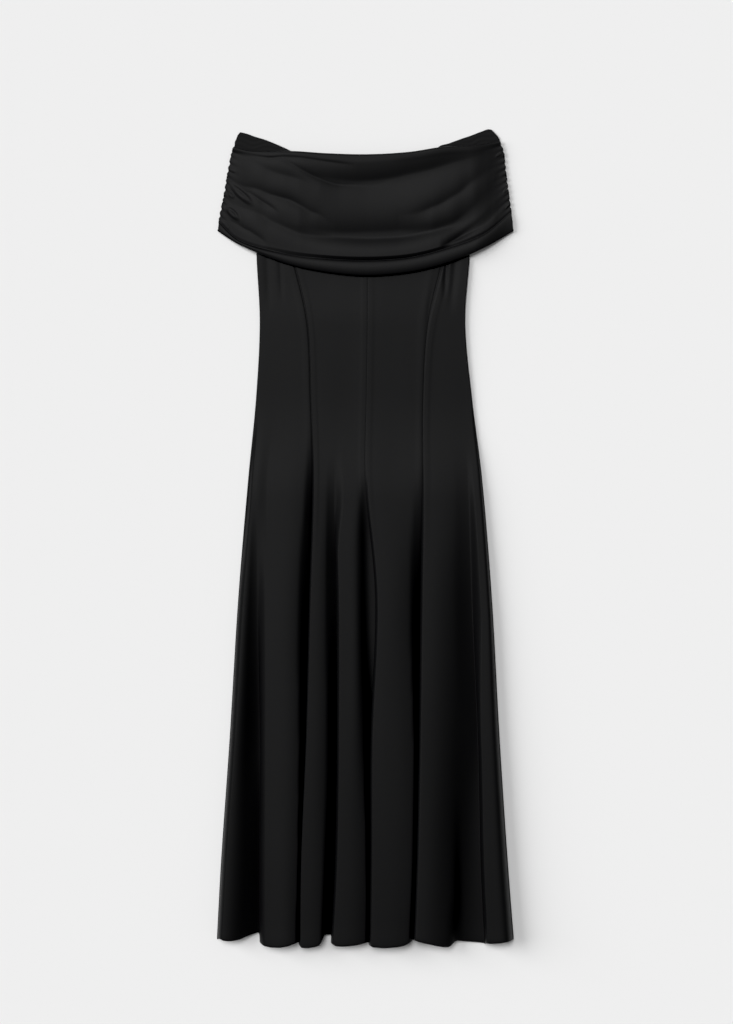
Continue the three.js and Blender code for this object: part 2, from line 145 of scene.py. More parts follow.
def crepeGroup():
    # the close pebbly grain of crepe, and a slight unevenness of its dye
    group = bpy.data.node_groups.new("crepeGrain", "ShaderNodeTree")
    for name, value in (("Grain Size", 1000), ("Tone Size", 12), ("Tone Spread", 0.1)):
        socket = group.interface.new_socket(name, in_out="INPUT", socket_type="NodeSocketFloat")
        socket.default_value = value
    for name in ("Height", "Tone"):
        group.interface.new_socket(name, in_out="OUTPUT", socket_type="NodeSocketFloat")
    nodes, links = group.nodes, group.links
    start = nodes.new("NodeGroupInput")
    end = nodes.new("NodeGroupOutput")
    place = nodes.new("ShaderNodeTexCoord")
    yarn = nodes.new("ShaderNodeTexNoise")
    yarn.inputs["Detail"].default_value = crepe["yarnDetail"]
    yarn.inputs["Distortion"].default_value = crepe["yarnTwist"]
    links.new(place.outputs["Object"], yarn.inputs["Vector"])
    links.new(start.outputs["Grain Size"], yarn.inputs["Scale"])
    pebble = nodes.new("ShaderNodeTexVoronoi")
    links.new(place.outputs["Object"], pebble.inputs["Vector"])
    links.new(start.outputs["Grain Size"], pebble.inputs["Scale"])
    both = nodes.new("ShaderNodeMath")
    both.operation = "MULTIPLY_ADD"
    both.inputs[1].default_value = crepe["pebbleShare"]
    links.new(pebble.outputs["Distance"], both.inputs[0])
    links.new(yarn.outputs["Fac"], both.inputs[2])
    links.new(both.outputs[0], end.inputs["Height"])
    dye = nodes.new("ShaderNodeTexNoise")
    dye.inputs["Detail"].default_value = crepe["toneDetail"]
    links.new(place.outputs["Object"], dye.inputs["Vector"])
    links.new(start.outputs["Tone Size"], dye.inputs["Scale"])
    centred = nodes.new("ShaderNodeMath")
    centred.operation = "SUBTRACT"
    centred.inputs[1].default_value = 0.5
    links.new(dye.outputs["Fac"], centred.inputs[0])
    tone = nodes.new("ShaderNodeMath")
    tone.operation = "MULTIPLY_ADD"
    tone.inputs[2].default_value = 1
    links.new(centred.outputs[0], tone.inputs[0])
    links.new(start.outputs["Tone Spread"], tone.inputs[1])
    links.new(tone.outputs[0], end.inputs["Tone"])
    return group


grainGroup = crepeGroup()


def crepeMaterial(name, black, roughness):
    material = bpy.data.materials.new(name)
    material.use_nodes = True
    nodes, links = material.node_tree.nodes, material.node_tree.links
    shader = nodes["Principled BSDF"]
    shader.inputs["Roughness"].default_value = roughness
    shader.inputs["Specular IOR Level"].default_value = crepe["specular"]
    grain = nodes.new("ShaderNodeGroup")
    grain.node_tree = grainGroup
    grain.inputs["Grain Size"].default_value = crepe["grainSize"]
    grain.inputs["Tone Size"].default_value = crepe["toneSize"]
    grain.inputs["Tone Spread"].default_value = crepe["toneSpread"]
    dye = nodes.new("ShaderNodeMix")
    dye.data_type = "RGBA"
    dye.blend_type = "MULTIPLY"
    dye.inputs["Factor"].default_value = 1
    dye.inputs["A"].default_value = (black, black, black * crepe["blueCast"], 1)
    links.new(grain.outputs["Tone"], dye.inputs["B"])
    links.new(dye.outputs["Result"], shader.inputs["Base Color"])
    bump = nodes.new("ShaderNodeBump")
    bump.inputs["Strength"].default_value = crepe["grainStrength"]
    bump.inputs["Distance"].default_value = crepe["grainDepth"]
    links.new(grain.outputs["Height"], bump.inputs["Height"])
    links.new(bump.outputs["Normal"], shader.inputs["Normal"])
    return material


blackCrepe = crepeMaterial("blackCrepe", crepe["black"], crepe["roughness"])
crepeBack = crepeMaterial("blackCrepeWrongSide", crepe["black"] * crepe["wrongSideBlack"],
                          crepe["roughness"] + crepe["wrongSideRoughness"])
print("crepe made")


# small helpers for shaping

def curve(t, v):
    # a smooth curve through the points of a table
    t, v = np.array(t, float), np.array(v, float)
    order = np.argsort(t)
    t, v = t[order], v[order]
    slope = np.empty_like(v)
    slope[1:-1] = (v[2:] - v[:-2]) / (t[2:] - t[:-2])
    slope[0] = (v[1] - v[0]) / (t[1] - t[0])
    slope[-1] = (v[-1] - v[-2]) / (t[-1] - t[-2])

    def at(x):
        x = np.clip(x, t[0], t[-1])
        i = np.clip(np.searchsorted(t, x, side="right") - 1, 0, len(t) - 2)
        span = t[i + 1] - t[i]
        k = (x - t[i]) / span
        return ((2 * k**3 - 3 * k**2 + 1) * v[i] + (k**3 - 2 * k**2 + k) * span * slope[i]
                + (3 * k**2 - 2 * k**3) * v[i + 1] + (k**3 - k**2) * span * slope[i + 1])
    return at


def tableCurves(rows, along):
    return {key: curve([row[along] for row in rows], [row[key] for row in rows])
            for key in rows[0] if key != along}


def mix(a, b, k):
    return a + (b - a) * k


def ease(x, low, high):
    k = np.clip((x - low) / (high - low), 0, 1)
    return k * k * (3 - 2 * k)


def hump(x, half):
    return np.exp(-(x / half) ** 2)


def softNoise(x, y, wide, tall, seed):
    # slow waves of about one either way, wide by tall to a wave
    flatX, flatY = np.ravel(x) / wide, np.ravel(y) / tall
    values = [noise.noise(Vector((a, b, seed))) for a, b in zip(flatX, flatY)]
    return np.array(values).reshape(np.shape(x))


def sheetOfPoints(name, points):
    # a grid whose rows run across the cloth, moved to the points
    rows, columns = points.shape[:2]
    bpy.ops.object.select_all(action="DESELECT")
    bpy.ops.mesh.primitive_grid_add(x_subdivisions=columns - 1, y_subdivisions=rows - 1, size=1)
    piece = bpy.context.object
    piece.name = name
    piece.data.name = name
    flat = np.empty(len(piece.data.vertices) * 3)
    piece.data.vertices.foreach_get("co", flat)
    flat = flat.reshape(-1, 3)
    column = np.rint((flat[:, 0] + 0.5) * (columns - 1)).astype(int)
    row = np.rint((0.5 - flat[:, 1]) * (rows - 1)).astype(int)
    placed = points[row, column] - np.array([middleX, middleY, 0])
    piece.data.vertices.foreach_set("co", placed.ravel())
    piece.data.update()
    return piece


def giveThickness(piece, levels=1):
    solid = piece.modifiers.new("thickness", "SOLIDIFY")
    solid.thickness = clothThick
    solid.offset = 0
    solid.use_even_offset = False
    bpy.context.view_layer.objects.active = piece
    bpy.ops.object.modifier_apply(modifier="thickness")
    if levels:
        smooth = piece.modifiers.new("smooth", "SUBSURF")
        smooth.levels = levels
        smooth.render_levels = levels
        bpy.ops.object.modifier_apply(modifier="smooth")
    bpy.ops.object.select_all(action="DESELECT")
    piece.select_set(True)
    bpy.ops.object.shade_smooth()


def finishPiece(piece, node, material):
    piece.data.materials.append(material)
    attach(piece, "root")
    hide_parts(node)


# body: where seams and the feet of the skirt's folds run, in x at each height y.
# a and b are the left and right feet of the troughs between the folds.

bodyLines = [
    dict(y=0.570, sideL=-0.167, a1=-0.163, b1=-0.159, a2=-0.150, b2=-0.145, a3=-0.095, b3=-0.062,
         a4=-0.006, b4=0.003, a5=0.112, b5=0.149, a6=0.153, b6=0.157, sideR=0.162),
    dict(y=0.425, sideL=-0.1635, a1=-0.154, b1=-0.146, a2=-0.116, b2=-0.110, a3=-0.068, b3=-0.047,
         a4=-0.005, b4=0.003, a5=0.092, b5=0.117, a6=0.130, b6=0.143, sideR=0.1565),
    dict(y=0.325, sideL=-0.1586, a1=-0.151, b1=-0.142, a2=-0.095, b2=-0.0875, a3=-0.061, b3=-0.044,
         a4=-0.005, b4=0.003, a5=0.082, b5=0.094, a6=0.121, b6=0.136, sideR=0.1497),
    dict(y=0.210, sideL=-0.1643, a1=-0.157, b1=-0.148, a2=-0.090, b2=-0.082, a3=-0.059, b3=-0.0455,
         a4=-0.0045, b4=0.0014, a5=0.077, b5=0.0865, a6=0.127, b6=0.144, sideR=0.1602),
    dict(y=0.090, sideL=-0.176, a1=-0.171, b1=-0.161, a2=-0.089, b2=-0.079, a3=-0.058, b3=-0.0468,
         a4=-0.006, b4=0.0, a5=0.0735, b5=0.0857, a6=0.134, b6=0.153, sideR=0.1752),
    dict(y=-0.090, sideL=-0.191, a1=-0.1775, b1=-0.1610, a2=-0.099, b2=-0.0843, a3=-0.059, b3=-0.0425,
         a4=-0.005, b4=0.0155, a5=0.0677, b5=0.0825, a6=0.135, b6=0.1600, sideR=0.1899),
    dict(y=-0.300, sideL=-0.2039, a1=-0.180, b1=-0.1575, a2=-0.0975, b2=-0.0903, a3=-0.057, b3=-0.0425,
         a4=-0.002, b4=0.0076, a5=0.0740, b5=0.0795, a6=0.138, b6=0.1695, sideR=0.2015),
    dict(y=-0.480, sideL=-0.2165, a1=-0.183, b1=-0.158, a2=-0.0998, b2=-0.0980, a3=-0.060, b3=-0.045,
         a4=0.0025, b4=0.007, a5=0.0725, b5=0.0757, a6=0.1345, b6=0.1735, sideR=0.2134),
    dict(y=-0.610, sideL=-0.2235, a1=-0.188, b1=-0.158, a2=-0.103, b2=-0.0993, a3=-0.0647, b3=-0.0516,
         a4=0.002, b4=0.0054, a5=0.0672, b5=0.071, a6=0.1317, b6=0.1794, sideR=0.2235),
]
bodyLine = tableCurves(bodyLines, "y")

body = {
    "wall": 0.0015,  # the solids' own cloth
    "sideRoll": 0.00115,
    "sideSteps": 4,  # columns to a quarter turn at the side seams
    "hipY": 0.230,
    "flarePower": 0.72,
    "flareEase": 0.2,  # share of the way down over which the flare eases in
    "hemY": -0.610,
    "sideHemY": -0.600,
    "backHemY": -0.586,
    "underarmY": 0.498,
    "underBandY": 0.570,  # the bodice's top edge is laid out at this height
    "topMiddleX": -0.002,
    "topHalf": 0.166,
    "topKeeps": 0.84,  # beyond this share of its half width the top edge drops to the underarm
    "neckGap": 0.0003,
    "bandLift": 0.002,
    "bandLiftFrom": 0.080,
    "bandLiftTo": 0.400,
    "rows": 170,
    "backRows": 110,
    "backSteps": 40,
    "backHemRound": 6,  # how late the back hem turns up to the side seams
    "riseSteps": 8,
    "slopeSteps": 20,
    "slopeCloser": 0.75,  # how much closer the columns stand at the ends of a slope
    "seamLap": 0.0003,  # each sheet goes on this far past its seam's middle
    "seamDips": {2: 0.0006, 4: 0.0001, 5: 0.0004},  # princess, centre front, princess
    "seamDipHalf": 0.0012,
    "turning": 0.009,  # the seam allowances press through to this width
    "turningRise": 0.00022,
    "turningEdge": (0.8, 1.15),  # times its width, where it fades out
    "turningFade": (-0.1, 0.1),  # heights between which the seams' turnings start to show
    "hemTurn": 0.022,
    "hemRise": 0.00025,
    "rippleHigh": 0.00035,
    "rippleWide": 0.05,
    "rippleTall": 0.22,
    "rippleSeed": 3.1,
    "rippleInside": 0.02,  # the ripples stay this far inside the seams
    "crownX": -0.050,  # the bodice is highest here, by this much, between these heights
    "crownHigh": 0.0017,
    "crownBelow": (0, 0.2),
    "crownAbove": (0.32, 0.395),
}
body["loft"] = body["wall"] / 2 + 2 * body["sideRoll"]

# the seven standing folds, left to right, and what they share. rise is how wide the left side of a
# fold is, first where it is soft and then where it is sharp, and it sharpens between two heights.
# crown is how much its top still climbs, and wall how much of its right side drops steeply, above
# and at the hem. hem holds shares of its width and heights.
foldShape = {
    "riseMost": 0.45,  # the most of a fold's width that its left side takes
    "bankLimits": (0.4, 0.97),  # the bank lies within these shares of its right side
    "endBank": 0.5,  # the last fold ends in the side seam: its bank, and how late it drops
    "endPower": 9,
    "leastBend": 1.25,  # of the drop beyond the bank
    "crownShare": 0.75,  # the top climbs over this share of the right side
    "wallEdge": (-0.005, 0.03),  # a steep wall starts and ends this far from the bank
    "dropSpan": (0.1, 0.45),  # how far below the middle the drops change to those at the hem
    "wallSpan": (0.35, 0.61),
}
folds = [
    dict(crest=0.024, crown=0, rise=(0.007, 0.008), sharpen=(0.05, -0.1), wall=(0, 0),
         hem=[(0, -0.5981), (0.15, -0.6028), (0.3, -0.6035), (0.53, -0.6011), (0.72, -0.5951),
              (0.93, -0.5903), (1, -0.5903)]),
    dict(crest=0.026, crown=0.0035, rise=(0.014, 0.009), sharpen=(0.02, -0.34), wall=(0, 0),
         hem=[(0, -0.6050), (0.11, -0.6104), (0.31, -0.6131), (0.51, -0.6133), (0.71, -0.6115),
              (0.91, -0.6068), (1, -0.6034)]),
    dict(crest=0.022, crown=0, rise=(0.003, 0.003), sharpen=(0.5, 0.3), wall=(0, 0.4),
         hem=[(0, -0.6086), (0.08, -0.6131), (0.27, -0.6139), (0.52, -0.6121), (0.65, -0.6097),
              (0.72, -0.6061), (0.74, -0.5936), (1, -0.5933)]),
    dict(crest=0.025, crown=0, rise=(0.014, 0.0035), sharpen=(0.07, -0.03), wall=(0, 0),
         hem=[(0, -0.6061), (0.13, -0.6110), (0.35, -0.6116), (0.67, -0.6097), (0.88, -0.6064),
              (1, -0.6044)]),
    dict(crest=0.027, crown=0, rise=(0.004, 0.0035), sharpen=(0.09, 0.05), wall=(0, 0),
         hem=[(0, -0.6086), (0.08, -0.6125), (0.34, -0.6140), (0.6, -0.6128), (0.78, -0.6107),
              (0.86, -0.6086), (0.95, -0.6043), (1, -0.6010)]),
    dict(crest=0.029, crown=0, rise=(0.003, 0.0035), sharpen=(0.5, 0.3), wall=(0, 0.3),
         hem=[(0, -0.6011), (0.08, -0.6050), (0.2, -0.6077), (0.31, -0.6104), (0.43, -0.6125),
              (0.5, -0.6130), (0.555, -0.6109), (0.575, -0.6017), (0.71, -0.6032), (0.94, -0.6050),
              (1, -0.6064)]),
    dict(crest=0.026, crown=0, rise=(0.018, 0.004), sharpen=(0.0, -0.3), wall=(0, 0),
         hem=[(0, -0.6067), (0.28, -0.6074), (0.56, -0.6064), (0.84, -0.6040), (1, -0.6010)]),
]
# the six troughs. bank is the share of the folds' height left at a, and hold how long the cloth
# keeps level before it drops, both at the upper skirt and at the hem. pinch is the share of that
# height at which the bottom is held. a trough is fully open at its reach below its start.
troughs = [
    dict(pinch=0, bank=(0.68, 0.68), hold=(2.2, 2.2), start=0.100, reach=0.370),
    dict(pinch=0.02, bank=(0.8, 0.86), hold=(4, 4), start=0.205, reach=0.170),
    dict(pinch=0, bank=(0.82, 0.8), hold=(3, 3), start=0.150, reach=0.200),
    dict(pinch=0.02, bank=(0.55, 0.8), hold=(8, 3), start=0.105, reach=0.110),
    dict(pinch=0.02, bank=(0.72, 0.84), hold=(2.8, 3.2), start=0.130, reach=0.200),
    dict(pinch=0, bank=(0.6, 0.45), hold=(2.4, 2.4), start=0.180, reach=0.300),
]
backCreases = [
    dict(topX=-0.112, hemX=-0.128, rise=0.003, half=0.009),
    dict(topX=-0.024, hemX=-0.026, rise=0.003, half=0.009),
    dict(topX=0.040, hemX=0.038, rise=0.0034, half=0.009),
    dict(topX=0.104, hemX=0.104, rise=0.003, half=0.009),
]
creaseTopY = 0.060

# soft dents of the bodice and upper skirt: from one end to the other, with depth and half width
dents = [
    dict(x0=0.1215, y0=0.412, x1=0.1175, y1=0.352, deep=0.0016, half=0.0035),
    dict(x0=0.134, y0=0.408, x1=0.126, y1=0.330, deep=0.0010, half=0.006),
    dict(x0=-0.146, y0=0.400, x1=-0.143, y1=0.330, deep=0.0006, half=0.006),
    dict(x0=-0.127, y0=0.402, x1=-0.124, y1=0.345, deep=0.0005, half=0.004),
]
dentFade = 0.2  # share of its length after which a dent fades out

# the band's edges, which the bodice meets
bandEdges = [
    dict(s=-1, top=0.588, crease=0.4755, hem=0.4615),
    dict(s=-0.85, top=0.5817, crease=0.4466, hem=0.4402),
    dict(s=-0.55, top=0.5813, crease=0.428, hem=0.4132),
    dict(s=-0.3, top=0.578, crease=0.4202, hem=0.4005),
    dict(s=0, top=0.5765, crease=0.4171, hem=0.3939),
    dict(s=0.3, top=0.580, crease=0.4215, hem=0.3992),
    dict(s=0.55, top=0.5875, crease=0.4354, hem=0.4126),
    dict(s=0.8, top=0.5905, crease=0.4565, hem=0.4355),
    dict(s=1, top=0.597, crease=0.490, hem=0.4615),
]
bandBackEdges = [
    dict(s=-1, top=0.604, hem=0.4625),
    dict(s=-0.948, top=0.612, hem=0.458),
    dict(s=-0.85, top=0.6034, hem=0.446),
    dict(s=-0.6, top=0.584, hem=0.428),
    dict(s=-0.3, top=0.556, hem=0.414),
    dict(s=0, top=0.546, hem=0.410),
    dict(s=0.3, top=0.560, hem=0.414),
    dict(s=0.6, top=0.5915, hem=0.428),
    dict(s=0.8, top=0.606, hem=0.442),
    dict(s=0.948, top=0.6146, hem=0.458),
    dict(s=1, top=0.604, hem=0.4625),
]
bandSides = [
    dict(y=0.6145, left=-0.1862, right=0.1886),
    dict(y=0.6105, left=-0.1878, right=0.1927),
    dict(y=0.605, left=-0.1921, right=0.1979),
    dict(y=0.599, left=-0.1940, right=0.2008),
    dict(y=0.592, left=-0.1966, right=0.2031),
    dict(y=0.581, left=-0.1998, right=0.2070),
    dict(y=0.569, left=-0.2025, right=0.2084),
    dict(y=0.544, left=-0.2072, right=0.2112),
    dict(y=0.514, left=-0.2122, right=0.2152),
    dict(y=0.484, left=-0.2184, right=0.2192),
    dict(y=0.460, left=-0.2213, right=0.2216),
]
bandEdge = tableCurves(bandEdges, "s")
bandBackEdge = tableCurves(bandBackEdges, "s")
bandSide = tableCurves(bandSides, "y")
neckTurn = 0.009
neckHeight = 0.574


def shareAcross(x, y):
    left, right = bandSide["left"](y), bandSide["right"](y)
    return np.clip(2 * (x - left) / (right - left) - 1, -1, 1)


def liftOf(y):
    return body["bandLift"] * ease(y, body["bandLiftFrom"], body["bandLiftTo"])


def crestAt(k, y):
    down = np.clip((body["hipY"] - y) / (body["hipY"] - body["hemY"]), 0, 1)
    flare = down ** body["flarePower"] * ease(down, 0, body["flareEase"])
    return mix(body["loft"], folds[k]["crest"], flare)


def floorAt(j, y):
    crests = (crestAt(j, y) + crestAt(j + 1, y)) / 2
    trough = troughs[j]
    opened = ease((trough["start"] - y) / trough["reach"], 0, 1)
    return mix(crests, mix(body["loft"], crests, trough["pinch"]), opened)


def downSkirt(pair, y, span):
    # from a value at the upper skirt to one at the hem
    return mix(pair[0], pair[1], ease(-y, *span))


def feetOf(k, y):
    # a fold's left foot and its right one, at the bottom of the trough beside it
    inward = body["wall"] / 2 + body["sideRoll"]
    if k == 0:
        leftX, leftZ = bodyLine["sideL"](y) + inward, body["loft"] + 0 * y
    else:
        leftX = bodyLine["b" + str(k)](y)
        leftZ = floorAt(k - 1, y)
    if k == len(folds) - 1:
        sideX = bodyLine["sideR"](y) - inward
        return leftX, leftZ, sideX, body["loft"] + 0 * y
    return leftX, leftZ, bodyLine["b" + str(k + 1)](y), floorAt(k, y)


def hemOf(k, share, height):
    # the hem's edge as it is seen from the camera, put back to its own height
    shares, heights = zip(*folds[k]["hem"])
    seen = np.interp(share, shares, heights)
    return mix(seen, view["aimY"] + middleY, height / cameraHigh)


def dropShare(turn, bankAt, bankDrop, hold):
    # the drop of a fold's right side: level, then down through the bank to the foot
    before = bankDrop * (np.minimum(turn, bankAt) / bankAt) ** hold
    bend = bankDrop * hold * (1 - bankAt) / (bankAt * (1 - bankDrop))
    bend = np.maximum(foldShape["leastBend"], bend)
    after = 1 - (1 - bankDrop) * ((1 - np.maximum(turn, bankAt)) / (1 - bankAt)) ** bend
    return np.where(turn < bankAt, before, after)


def foldColumn(k, zone, turn):
    fold = folds[k]
    angle = turn * math.pi / 2

    def at(y):
        leftX, leftZ, lowX, lowZ = feetOf(k, y)
        crest = crestAt(k, y)
        sharp = ease(-y, -fold["sharpen"][0], -fold["sharpen"][1])
        rise = mix(fold["rise"][0], fold["rise"][1], sharp)
        topX = leftX + np.minimum(rise, foldShape["riseMost"] * (lowX - leftX))
        crown = fold["crown"] * (crest - body["loft"]) / (fold["crest"] - body["loft"])
        if zone == "rise":
            across = mix(turn, 1 - math.cos(angle), sharp)
            up = mix(ease(turn, 0, 1), math.sin(angle), sharp)
            x, z = mix(leftX, topX, across), mix(leftZ, crest - crown, up)
        else:
            if k == len(folds) - 1:
                bankAt, fall = foldShape["endBank"], turn ** foldShape["endPower"] + 0 * y
            else:
                bankAt = (bodyLine["a" + str(k + 1)](y) - topX) / (lowX - topX)
                bankAt = np.clip(bankAt, *foldShape["bankLimits"])
                bank = downSkirt(troughs[k]["bank"], y, foldShape["dropSpan"])
                hold = downSkirt(troughs[k]["hold"], y, foldShape["dropSpan"])
                fall = dropShare(turn, bankAt, 1 - bank, hold)
            drop = ease(turn - bankAt, *foldShape["wallEdge"])
            fall = mix(fall, drop, downSkirt(fold["wall"], y, foldShape["wallSpan"]))
            crownLeft = crown * max(0, 1 - turn / foldShape["crownShare"]) ** 2
            x, z = mix(topX, lowX, turn), mix(crest - crownLeft, lowZ, fall)
        share = (x - leftX) / (lowX - leftX)
        return x, z + liftOf(y), hemOf(k, share, z)
    return at


def rollColumn(side, turn):
    angle = turn * math.pi / 2
    inward = body["wall"] / 2 + body["sideRoll"] * (1 - math.sin(angle))
    rise = body["wall"] / 2 + body["sideRoll"] * (1 - math.cos(angle))

    def at(y):
        x = bodyLine["sideL"](y) + inward if side == "left" else bodyLine["sideR"](y) - inward
        return x, rise + liftOf(y), body["sideHemY"]
    return at


def frontColumns():
    # all columns of the front from the left side seam to the right one, and where its seams are
    steps = body["sideSteps"]
    columns = [rollColumn("left", 1 + k / steps) for k in range(steps)]
    seams = {}
    for k in range(len(folds)):
        if k in body["seamDips"]:
            seams[k] = len(columns)
        columns += [foldColumn(k, "rise", i / body["riseSteps"]) for i in range(body["riseSteps"])]
        even = [i / body["slopeSteps"] for i in range(body["slopeSteps"])]
        slope = [mix(share, (1 - math.cos(math.pi * share)) / 2, body["slopeCloser"]) for share in even]
        columns += [foldColumn(k, "slope", turn) for turn in slope]
    columns.append(foldColumn(len(folds) - 1, "slope", 1))
    columns += [rollColumn("right", 2 - (k + 1) / steps) for k in range(steps)]
    return columns, seams


def bodyTop(x, front):
    reach = np.clip(np.abs(x - body["topMiddleX"]) / body["topHalf"], 0, 1)
    s = shareAcross(x, neckHeight)
    frontNeck = bandEdge["top"](s) - neckTurn - body["neckGap"]
    neck = frontNeck if front else min(bandBackEdge["top"](s), bandEdge["top"](s)) - neckTurn
    return mix(neck, body["underarmY"], ease(reach, body["topKeeps"], 1))


def seamRelief(distance, y, deep):
    # cloth dips into the seam, and its turnings press through beside it
    dip = -deep * hump(distance, body["seamDipHalf"])
    near, far = body["turningEdge"]
    rise = body["turningRise"] * (1 - ease(distance, body["turning"] * near, body["turning"] * far))
    return dip + rise * ease(y, *body["turningFade"])


def dentDepth(x, y):
    depth = np.zeros_like(x)
    for dent in dents:
        down = (dent["y0"] - y) / (dent["y0"] - dent["y1"])
        middle = mix(dent["x0"], dent["x1"], down)
        depth += dent["deep"] * hump(x - middle, dent["half"]) * (1 - ease(down, dentFade, 1))
    return depth


def crownRise(x, y):
    # the bodice isn't quite flat: it climbs from the left side seam and falls slowly to the right one
    side = np.where(x < body["crownX"], bodyLine["sideL"](y), bodyLine["sideR"](y))
    share = np.clip((x - body["crownX"]) / (side - body["crownX"]), 0, 1)
    level = ease(y, *body["crownBelow"]) * (1 - ease(y, *body["crownAbove"]))
    return body["crownHigh"] * (1 - share ** 2) * level


def panelPoints(columns, rows, front, seamAt):
    down = np.linspace(0, 1, rows)
    points = np.zeros((rows, len(columns), 3))
    for c, column in enumerate(columns):
        top = bodyTop(column(np.array([body["underBandY"]]))[0], front)
        hem = column(np.array([body["hemY"]]))[2]
        y = mix(float(top[0]), float(np.ravel(hem)[0]), down)
        x, z, _ = column(y)
        points[:, c] = np.stack([x, y, z + 0 * y], axis=1)
    x, y = points[..., 0], points[..., 1]
    if front:
        for at in seamAt:
            edge = points[:, at, 0][:, None]
            points[..., 2] += seamRelief(np.abs(x - edge), y, seamAt[at])
            points[:, at, 0] += body["seamLap"] * (1 if at else -1)
        points[..., 2] -= dentDepth(x, y)
        points[..., 2] += crownRise(x, y)
        inside = ease(np.minimum(x - x[:, :1], x[:, -1:] - x), 0, body["rippleInside"])
        ripple = softNoise(x, y, body["rippleWide"], body["rippleTall"], body["rippleSeed"])
        points[..., 2] += ripple * body["rippleHigh"] * inside
        hemFrom = -body["sideHemY"] - body["hemTurn"]
        points[..., 2] += body["hemRise"] * ease(-y, hemFrom, -body["sideHemY"])
    return points


# the flat size and area of each front panel
frontFlats = {
    "front_side_left": (0.174, 1.145, 0.1264),
    "front_centre_left": (0.165, 1.18, 0.1394),
    "front_centre_right": (0.145, 1.18, 0.1137),
    "front_side_right": (0.212, 1.145, 0.1339),
}


def buildFront():
    columns, seams = frontColumns()
    cuts = [0, *seams.values(), len(columns) - 1]
    for (name, (wide, tall, area)), start, stop in zip(frontFlats.items(), cuts[:-1], cuts[1:]):
        part = columns[start:stop + 1]
        edges = {at - start: body["seamDips"][k] for k, at in seams.items() if at in (start, stop)}
        piece = sheetOfPoints("cloth_" + name, panelPoints(part, body["rows"], True, edges))
        giveThickness(piece)
        finishPiece(piece, name, blackCrepe)
        print(name, len(piece.data.polygons), "faces")


def backColumn(u):
    def at(y):
        left = bodyLine["sideL"](y) + body["wall"] / 2 + body["sideRoll"]
        right = bodyLine["sideR"](y) - body["wall"] / 2 - body["sideRoll"]
        x = mix(left, right, u)
        down = ease(creaseTopY - y, 0, creaseTopY - body["hemY"])
        z = body["wall"] / 2 + liftOf(y)
        for crease in backCreases:
            away = x - mix(crease["topX"], crease["hemX"], down)
            z = z + crease["rise"] * down * hump(away, crease["half"])
        return x, z, mix(body["backHemY"], body["sideHemY"], abs(2 * u - 1) ** body["backHemRound"])
    return at


def buildBack():
    steps, sideSteps = body["backSteps"], body["sideSteps"]
    half = {"back_left": (0, 0.5), "back_right": (0.5, 1)}
    for name, (start, stop) in half.items():
        columns = [backColumn(mix(start, stop, i / steps)) for i in range(steps + 1)]
        if name == "back_left":
            columns = [rollColumn("left", 1 - k / sideSteps) for k in range(sideSteps)] + columns
        else:
            columns += [rollColumn("right", (k + 1) / sideSteps) for k in range(sideSteps)]
        piece = sheetOfPoints("cloth_" + name, panelPoints(columns, body["backRows"], False, {}))
        giveThickness(piece)
        finishPiece(piece, name, blackCrepe)
        print(name, len(piece.data.polygons), "faces")


buildFront()
buildBack()


# band: the front drapes over the bodice in cowl folds, and the back lies on the surface.
# a name that ends in Out is for the side seams.

band = {
    "edgeZ": 0.0026,
    "low": 0.007,
    "plump": 0.0062,
    "plumpOut": 0.25,  # share of it that is left
    "shoulder": 0.74,
    "slope": 0.42,  # from here outwards the folds get flatter
    "loft": body["loft"] + body["bandLift"],
    "neckRound": 0.0034,
    "neckRoundOut": 0.001,
    "neckTurnOut": 0.0023,
    "neckTurnRows": 3,
    "neckStep": 15,  # degrees
    "neckShare": 0.07,  # share of the way down over which the drape leaves the neck edge
    "valleyOut": 0.55,  # share of the valleys' depth that is left
    "valleySteep": 1.15,
    "leastRise": 0.0002,  # of the deepest valleys, and how softly their bottoms level out
    "bottomSoft": 0.0008,
    "nearSeam": 0.35,  # beyond the shoulder the folds climb from this share at the side seams
    "nearClimb": 4,
    "overhang": 0.0045,  # the drape ends this far above the crease and is fuller there
    "lipRise": 0.002,
    "lipSpan": (0.75, 0.97),
    "lipLoss": 0.5,  # share it loses where the groove is shallow
    "lipLossFrom": 0.7,
    "grooveWide": 0.0014,
    "grooveLap": 0.0002,
    "shallowGroove": 0.45,
    "rollHigh": 0.0032,
    "rollHighOut": 0.0013,
    "rollShares": (0.7, 1.05),  # of its height, where the groove is shallow and where it is deep
    "rollTurn": (15, 225),  # degrees
    "columns": 240,
    "evenShare": 0.45,  # 1 would space the columns evenly, and 0 closest at the side seams
    "drapeRows": 120,
    "rollRows": 22,
    "gathers": 11,
    "gatherRise": 0.0006,
    "gatherReach": 0.008,
    "gatherFade": 10,
    "halfWide": 0.2,
    "scallop": 0.0009,
    "scallopFade": 12,
    "puckerMoat": 0.55,  # how deep the ring round a pucker is, and how wide, as shares of it
    "puckerMoatWide": 0.5,
}
bandBack = {
    "columns": 150,
    "rows": 88,
    "gatherShare": 0.15,  # share of the way down over which its gathers start
    "crinkleHigh": 0.00016,
    "crinkleFine": 900,
    "crinkleLean": 14,
    "crinkleBend": 2,
    "crinkleBends": 31,
    "crinkleAbove": (-0.004, 0.006),  # heights over the front's neck edge
    "crinkleFrom": (0.5, 0.7),  # shares of the half width
}

